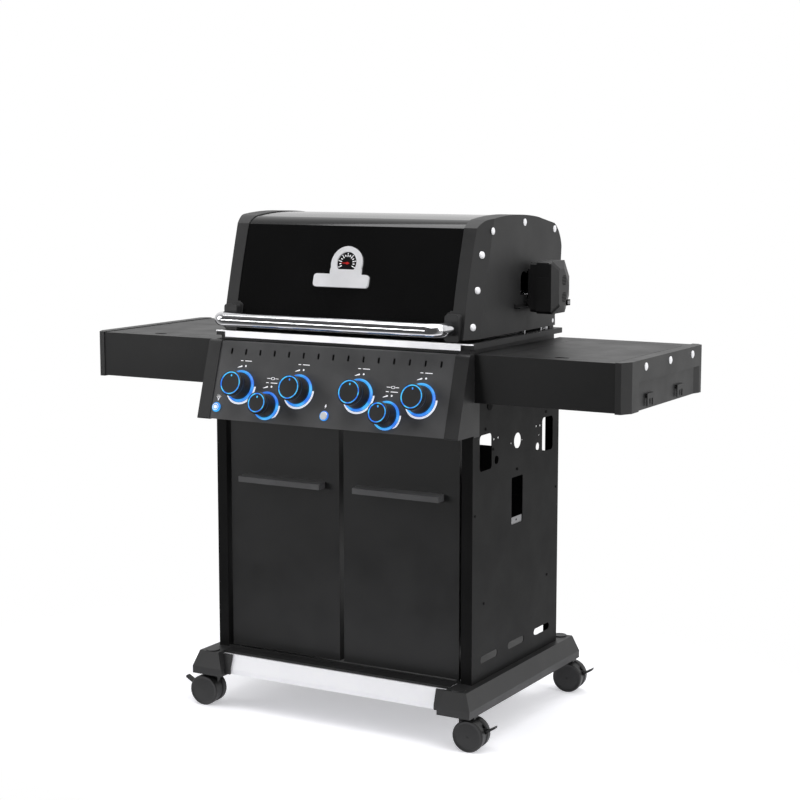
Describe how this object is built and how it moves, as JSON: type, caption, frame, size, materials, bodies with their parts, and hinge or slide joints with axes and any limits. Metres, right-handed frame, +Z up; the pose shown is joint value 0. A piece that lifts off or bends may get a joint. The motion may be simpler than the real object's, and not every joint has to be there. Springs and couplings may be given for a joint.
{
  "type": "gas barbecue grill",
  "caption": "Cart-mounted gas barbecue grill with a hinged lid, slanted lit control console, two side shelves, double-door cabinet, rotisserie motor and locking twin-wheel casters.",
  "frame": {"origin": "on the floor under the middle of the whole grill's bounding box", "axes": "+X to the right as seen by the cook at the console and along the shelves, +Y from the console to the back, +Z up"},
  "size_m": [1.4566, 0.6554, 1.2114],
  "materials": {
    "powder_black": "satin",
    "enamel_black": "gloss",
    "cast_black": "matte",
    "silver_paint": "satin",
    "polished_steel": "polished",
    "stainless": "brushed",
    "black_resin": "matte",
    "knob_plastic": "satin",
    "lit_ring": "gloss",
    "brass": "satin",
    "cast_iron": "matte",
    "cast_aluminium": "matte",
    "steel_tray": "satin",
    "dial_face": "gloss",
    "pointer_red": "gloss",
    "nylon_black": "matte",
    "door_handle_grey": "satin"
  },
  "bodies": {
    "cart": {"base_beams": "black_resin", "base_apron": "silver_paint", "cabinet_floor": "powder_black", "side_panels": "powder_black", "rear_brace": "powder_black", "console_panel": "powder_black", "console_caps": "black_resin", "knob_bezels": "lit_ring", "gas_manifold": "brass", "cookbox": "cast_aluminium", "cookbox_trim": "polished_steel", "burners": "stainless", "flame_tamers": "stainless", "cooking_grates": "cast_iron", "warming_rack": "polished_steel", "side_shelf_left": "powder_black", "side_shelf_right": "powder_black", "shelf_end_caps": "black_resin", "shelf_screws": "polished_steel", "side_burner": "brass", "side_burner_grate": "cast_iron", "hinge_pins": "polished_steel"},
    "lid": {"lid_shell": "enamel_black", "lid_end_caps": "cast_black", "lid_handle": "polished_steel", "handle_bosses": "black_resin", "lid_badge": "polished_steel", "thermometer_dial": "dial_face", "lid_screws": "polished_steel", "rotisserie_bracket": "powder_black", "rotisserie_motor": "black_resin"},
    "needle": {"thermometer_needle": "pointer_red"},
    "spit_drive": {"rotisserie_drive": "stainless"},
    "door_left": {"door_left": "powder_black", "door_handle_left": "door_handle_grey"},
    "door_right": {"door_right": "powder_black", "door_handle_right": "door_handle_grey"},
    "tray": {"grease_tray": "steel_tray"},
    "ignition": {"ignition_button": "polished_steel"},
    "light": {"light_button": "lit_ring"},
    "shelf_lid_left": {"shelf_lid_left": "powder_black"},
    "shelf_lid_right": {"shelf_lid_right": "powder_black"},
    "knob_outer_left": {"knob_outer_left": "knob_plastic"},
    "knob_inner_left": {"knob_inner_left": "knob_plastic"},
    "knob_inner_right": {"knob_inner_right": "knob_plastic"},
    "knob_outer_right": {"knob_outer_right": "knob_plastic"},
    "knob_side_burner": {"knob_side_burner": "knob_plastic"},
    "knob_rotisserie": {"knob_rotisserie": "knob_plastic"},
    "swivel_front_left": {"caster_housing_front_left": "nylon_black"},
    "wheels_front_left": {"caster_wheels_front_left": "nylon_black"},
    "pedal_front_left": {"caster_pedal_front_left": "nylon_black"},
    "swivel_front_right": {"caster_housing_front_right": "nylon_black"},
    "wheels_front_right": {"caster_wheels_front_right": "nylon_black"},
    "pedal_front_right": {"caster_pedal_front_right": "nylon_black"},
    "swivel_rear_left": {"caster_housing_rear_left": "nylon_black"},
    "wheels_rear_left": {"caster_wheels_rear_left": "nylon_black"},
    "pedal_rear_left": {"caster_pedal_rear_left": "nylon_black"},
    "swivel_rear_right": {"caster_housing_rear_right": "nylon_black"},
    "wheels_rear_right": {"caster_wheels_rear_right": "nylon_black"},
    "pedal_rear_right": {"caster_pedal_rear_right": "nylon_black"}
  },
  "joints": [
    {"name": "lid_hinge", "type": "hinge", "parent": "cart", "child": "lid", "pos_m": [0, 0.22623, 0.9484], "axis": [-1, 0, 0], "range_deg": [0, 85]},
    {"name": "thermometer_pointer", "type": "hinge", "parent": "lid", "child": "needle", "pos_m": [0, -0.16919, 1.09778], "axis": [0, 0.9628, -0.2703], "range_deg": [0, 180], "stiffness_Nm_per_rad": 0.002},
    {"name": "spit_turn", "type": "hinge", "parent": "lid", "child": "spit_drive", "pos_m": [0.365, 0.11224, 1.0424], "axis": [1, 0, 0], "continuous": true},
    {"name": "door_left_hinge", "type": "hinge", "parent": "cart", "child": "door_left", "pos_m": [-0.308, -0.18976, 0.433], "axis": [0, 0, -1], "range_deg": [0, 100]},
    {"name": "shelf_lid_left_hinge", "type": "hinge", "parent": "cart", "child": "shelf_lid_left", "pos_m": [-0.551, 0.19873, 0.9045], "axis": [-1, 0, 0], "range_deg": [0, 100]},
    {"name": "door_right_hinge", "type": "hinge", "parent": "cart", "child": "door_right", "pos_m": [0.308, -0.18976, 0.433], "axis": [0, 0, 1], "range_deg": [0, 100]},
    {"name": "shelf_lid_right_hinge", "type": "hinge", "parent": "cart", "child": "shelf_lid_right", "pos_m": [0.551, 0.19873, 0.9045], "axis": [-1, 0, 0], "range_deg": [0, 26]},
    {"name": "tray_slide", "type": "slide", "parent": "cart", "child": "tray", "axis": [0, 1, 0], "range_m": [0, 0.28]},
    {"name": "knob_outer_left_turn", "type": "hinge", "parent": "cart", "child": "knob_outer_left", "pos_m": [-0.246, -0.27806, 0.80828], "axis": [0, -0.9555, 0.295], "range_deg": [0, 220]},
    {"name": "knob_inner_left_turn", "type": "hinge", "parent": "cart", "child": "knob_inner_left", "pos_m": [-0.082, -0.27806, 0.80828], "axis": [0, -0.9555, 0.295], "range_deg": [0, 220]},
    {"name": "knob_inner_right_turn", "type": "hinge", "parent": "cart", "child": "knob_inner_right", "pos_m": [0.082, -0.27806, 0.80828], "axis": [0, -0.9555, 0.295], "range_deg": [0, 220]},
    {"name": "knob_outer_right_turn", "type": "hinge", "parent": "cart", "child": "knob_outer_right", "pos_m": [0.246, -0.27806, 0.80828], "axis": [0, -0.9555, 0.295], "range_deg": [0, 220]},
    {"name": "knob_side_burner_turn", "type": "hinge", "parent": "cart", "child": "knob_side_burner", "pos_m": [-0.164, -0.29048, 0.76806], "axis": [0, -0.9555, 0.295], "range_deg": [0, 220]},
    {"name": "knob_rotisserie_turn", "type": "hinge", "parent": "cart", "child": "knob_rotisserie", "pos_m": [0.164, -0.29048, 0.76806], "axis": [0, -0.9555, 0.295], "range_deg": [0, 220]},
    {"name": "ignition_push", "type": "slide", "parent": "cart", "child": "ignition", "axis": [0, 0.9555, -0.295], "range_m": [0, 0.003], "stiffness_N_per_m": 500},
    {"name": "light_push", "type": "slide", "parent": "cart", "child": "light", "axis": [0, 0.9555, -0.295], "range_m": [0, 0.003], "stiffness_N_per_m": 500},
    {"name": "swivel_front_left_turn", "type": "hinge", "parent": "cart", "child": "swivel_front_left", "pos_m": [-0.345, -0.23577, 0.084], "axis": [0, 0, 1], "continuous": true},
    {"name": "wheels_front_left_roll", "type": "hinge", "parent": "swivel_front_left", "child": "wheels_front_left", "pos_m": [-0.36692, -0.23768, 0.0375], "axis": [0.0872, -0.9962, 0], "continuous": true},
    {"name": "pedal_front_left_press", "type": "hinge", "parent": "swivel_front_left", "child": "pedal_front_left", "pos_m": [-0.3978, -0.24038, 0.0495], "axis": [0.0872, -0.9962, 0], "range_deg": [0, 15]},
    {"name": "swivel_front_right_turn", "type": "hinge", "parent": "cart", "child": "swivel_front_right", "pos_m": [0.345, -0.23577, 0.084], "axis": [0, 0, 1], "continuous": true},
    {"name": "wheels_front_right_roll", "type": "hinge", "parent": "swivel_front_right", "child": "wheels_front_right", "pos_m": [0.36692, -0.23385, 0.0375], "axis": [-0.0872, 0.9962, 0], "continuous": true},
    {"name": "pedal_front_right_press", "type": "hinge", "parent": "swivel_front_right", "child": "pedal_front_right", "pos_m": [0.3978, -0.23115, 0.0495], "axis": [-0.0872, 0.9962, 0], "range_deg": [0, 15]},
    {"name": "swivel_rear_left_turn", "type": "hinge", "parent": "cart", "child": "swivel_rear_left", "pos_m": [-0.345, 0.30423, 0.084], "axis": [0, 0, 1], "continuous": true},
    {"name": "wheels_rear_left_roll", "type": "hinge", "parent": "swivel_rear_left", "child": "wheels_rear_left", "pos_m": [-0.36692, 0.30232, 0.0375], "axis": [0.0872, -0.9962, 0], "continuous": true},
    {"name": "pedal_rear_left_press", "type": "hinge", "parent": "swivel_rear_left", "child": "pedal_rear_left", "pos_m": [-0.3978, 0.29962, 0.0495], "axis": [0.0872, -0.9962, 0], "range_deg": [0, 15]},
    {"name": "swivel_rear_right_turn", "type": "hinge", "parent": "cart", "child": "swivel_rear_right", "pos_m": [0.345, 0.30423, 0.084], "axis": [0, 0, 1], "continuous": true},
    {"name": "wheels_rear_right_roll", "type": "hinge", "parent": "swivel_rear_right", "child": "wheels_rear_right", "pos_m": [0.36692, 0.30615, 0.0375], "axis": [-0.0872, 0.9962, 0], "continuous": true},
    {"name": "pedal_rear_right_press", "type": "hinge", "parent": "swivel_rear_right", "child": "pedal_rear_right", "pos_m": [0.3978, 0.30885, 0.0495], "axis": [-0.0872, 0.9962, 0], "range_deg": [0, 15]}
  ]
}
